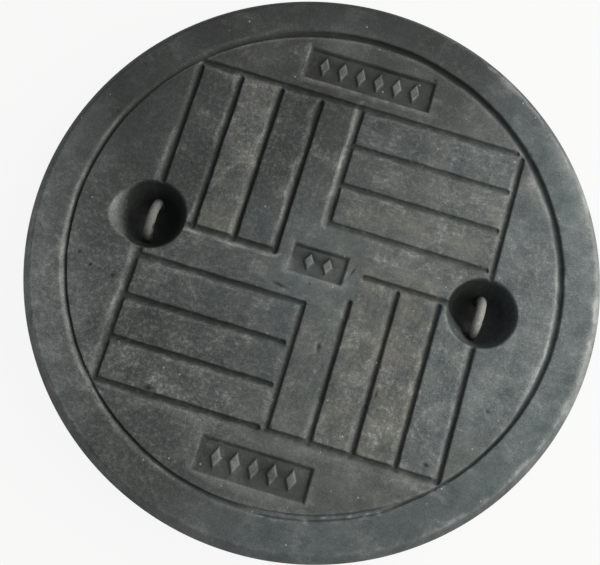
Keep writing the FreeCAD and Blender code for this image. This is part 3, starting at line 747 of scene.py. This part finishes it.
# hot-rolled mild steel bar, bent cold and splashed with cement: dull grey metal under a mottled pale film,
# darker towards its feet with grime and painted shade
# sizes in mm, mill scale being finer than scaleSize and drawn as coarse as it needs to show
steel = {"metal": "#8f8d88", "film": "#898a86", "rust": "#6a5f56", "grimeAndShade": "#33332f",
         "filmSize": 6, "filmLevels": (0.34, 0.46), "scaleSize": 1.5, "rustLevels": (0.55, 0.75),
         "rustShare": 0.6,
         "grimeAndShadeFrom": 63, "grimeAndShadeTo": 46, "mottleLevels": (0.35, 0.7), "mottleShare": 0.45,
         "roughMetal": 0.48, "roughFilm": 0.85, "bumpHeight": 0.15, "bump": 0.8,
         "shadedBarTone": 0.98, "litBarTone": 1.5}  # painted light: the right bar is painted paler than the left one, which lies deeper in shade


def cementedSteel():
    made, tree, shader = startMaterial("cementedRolledSteel")
    place = addNode(tree, "ShaderNodeTexCoord").outputs["Object"]
    film, scale = (addNode(tree, "ShaderNodeTexNoise", {
        "Vector": place, "Scale": 1 / (steel[size] * mm), "Detail": detail}).outputs["Fac"]
        for size, detail in (("filmSize", 5.0), ("scaleSize", 3.0)))
    covered, rusty, mottle = (addNode(tree, "ShaderNodeMapRange", {
        "Value": noise, "From Min": levels[0], "From Max": levels[1], "To Max": most}).outputs[0]
        for noise, levels, most in ((film, steel["filmLevels"], 1.0),
                                    (scale, steel["rustLevels"], steel["rustShare"]),
                                    (scale, steel["mottleLevels"], steel["mottleShare"])))
    side, _, height = addNode(tree, "ShaderNodeSeparateXYZ", {0: place}).outputs
    # darker towards the bar's feet: grime and painted shade, with mottle added
    grimeAndShadeMask = addNode(tree, "ShaderNodeMapRange", {
        "Value": height, "From Min": steel["grimeAndShadeFrom"] * mm, "From Max": steel["grimeAndShadeTo"] * mm}).outputs[0]
    grimeAndShadeMask = addNode(tree, "ShaderNodeMath", {0: grimeAndShadeMask, 1: mottle},
                    operation="ADD", use_clamp=True).outputs[0]

    colour = toLinear(steel["metal"])
    for amount, name in ((rusty, "rust"), (covered, "film"), (grimeAndShadeMask, "grimeAndShade")):
        colour = addNode(tree, "ShaderNodeMix", {0: amount, 6: colour, 7: toLinear(steel[name])},
                         data_type="RGBA").outputs[2]
    # painted light: the right bar's colour is lifted, and the left one is kept a little darker
    tone = addNode(tree, "ShaderNodeMapRange", {
        "Value": side, "From Min": -0.1, "From Max": 0.1,
        "To Min": steel["shadedBarTone"], "To Max": steel["litBarTone"]})
    colour = addNode(tree, "ShaderNodeHueSaturation", {"Value": tone.outputs[0], "Color": colour}).outputs[0]
    tree.links.new(colour, shader.inputs["Base Color"])
    for socket, bare, filmed in (("Metallic", 1.0, 0.0),
                                 ("Roughness", steel["roughMetal"], steel["roughFilm"])):
        part = addNode(tree, "ShaderNodeMapRange", {"Value": covered, "To Min": bare, "To Max": filmed})
        tree.links.new(part.outputs[0], shader.inputs[socket])
    height = addNode(tree, "ShaderNodeMath", {0: covered, 1: scale}, operation="ADD").outputs[0]
    bump = addNode(tree, "ShaderNodeBump", {
        "Height": height, "Distance": steel["bumpHeight"] * mm, "Strength": steel["bump"]})
    tree.links.new(bump.outputs["Normal"], shader.inputs["Normal"])
    return made


# studio, sizes in m and turns in degrees: a floor of matte backdrop paper, flat white without gloss, soft
# light all round and one broad window of light on the right
studio = {"floorSize": 30.0, "floor": "#d2d2cf", "floorRough": 0.9, "whiteShare": 0.9,
          "sky": "#f2f5f8", "skyStrength": 0.25,
          "whiteSky": 0.92,  # as pale as the far floor, so that no horizon shows
          "keyTurn": 14, "keyLift": 40, "keyAway": 2.0, "keyWide": 2.4, "keyHigh": 2.0, "keyPower": 46,
          "key": "#fffaf2"}


def backdropRays(tree):  # 1 for the rays that show the backdrop, 0 for those that light the cover
    ray = addNode(tree, "ShaderNodeLightPath").outputs
    shown = ray["Is Camera Ray"]
    for name in ("Is Glossy Ray", "Is Transmission Ray"):
        shown = addNode(tree, "ShaderNodeMath", {0: shown, 1: ray[name]}, operation="MAXIMUM").outputs[0]
    return shown


def setStudio():
    scene = bpy.context.scene
    scene.view_settings.view_transform = "Standard"
    world = bpy.data.worlds.new("studioSky")
    scene.world = world
    world.use_nodes = True
    tree = world.node_tree
    sky = tree.nodes["Background"]
    sky.inputs["Color"].default_value = toLinear(studio["sky"])
    sky.inputs["Strength"].default_value = studio["skyStrength"]
    white = addNode(tree, "ShaderNodeBackground", {"Color": (1, 1, 1, 1), "Strength": studio["whiteSky"]})
    both = addNode(tree, "ShaderNodeMixShader", {
        0: backdropRays(tree), 1: sky.outputs[0], 2: white.outputs[0]})
    tree.links.new(both.outputs[0], tree.nodes["World Output"].inputs["Surface"])

    half = studio["floorSize"] / 2
    corners = [(-half, -half, 0), (half, -half, 0), (half, half, 0), (-half, half, 0)]
    mesh = bpy.data.meshes.new("studioFloor")
    mesh.from_pydata(corners, [], [(0, 1, 2, 3)])
    floor = bpy.data.objects.new("studioFloor", mesh)
    scene.collection.objects.link(floor)
    paper, tree, shader = startMaterial("matteBackdropPaper")
    shader.inputs["Base Color"].default_value = toLinear(studio["floor"])
    shader.inputs["Roughness"].default_value = studio["floorRough"]
    glow = addNode(tree, "ShaderNodeEmission", {"Color": (1, 1, 1, 1), "Strength": 1.0})
    share = addNode(tree, "ShaderNodeMath", {0: backdropRays(tree), 1: studio["whiteShare"]},
                    operation="MULTIPLY")
    both = addNode(tree, "ShaderNodeMixShader", {
        0: share.outputs[0], 1: shader.outputs[0], 2: glow.outputs[0]})
    tree.links.new(both.outputs[0], tree.nodes["Material Output"].inputs["Surface"])
    mesh.materials.append(paper)

    light = bpy.data.lights.new("windowLight", "AREA")
    light.shape = "RECTANGLE"
    light.size, light.size_y = studio["keyWide"], studio["keyHigh"]
    light.energy = studio["keyPower"]
    light.color = toLinear(studio["key"])[:3]
    lamp = bpy.data.objects.new("windowLight", light)
    scene.collection.objects.link(lamp)
    turn, lift = math.radians(studio["keyTurn"]), math.radians(studio["keyLift"])
    away = Vector((math.cos(turn) * math.cos(lift), math.sin(turn) * math.cos(lift), math.sin(lift)))
    lamp.location = away * studio["keyAway"] + Vector((0, 0, slab["faceHeight"] * mm))
    lamp.rotation_euler = away.to_track_quat("Z", "Y").to_euler()


# the camera stands where the photograph was taken: place in mm, turns about x, y and z in degrees
view = {"place": (11.5, -241.7, 1052.3), "turns": (12.34, -2.46, 16.68), "lens": 58.7, "sensor": 36.0,
        "clips": (0.05, 50)}  # in m


def setCamera():
    data = bpy.data.cameras.new("photoCamera")
    data.lens, data.sensor_width = view["lens"], view["sensor"]
    data.clip_start, data.clip_end = view["clips"]
    camera = bpy.data.objects.new("photoCamera", data)
    bpy.context.scene.collection.objects.link(camera)
    camera.location = Vector(view["place"]) * mm
    camera.rotation_euler = [math.radians(turn) for turn in view["turns"]]
    bpy.context.scene.camera = camera


makeCover(castConcrete())
makeBars(cementedSteel())
setStudio()
setCamera()
print("studio and camera set")
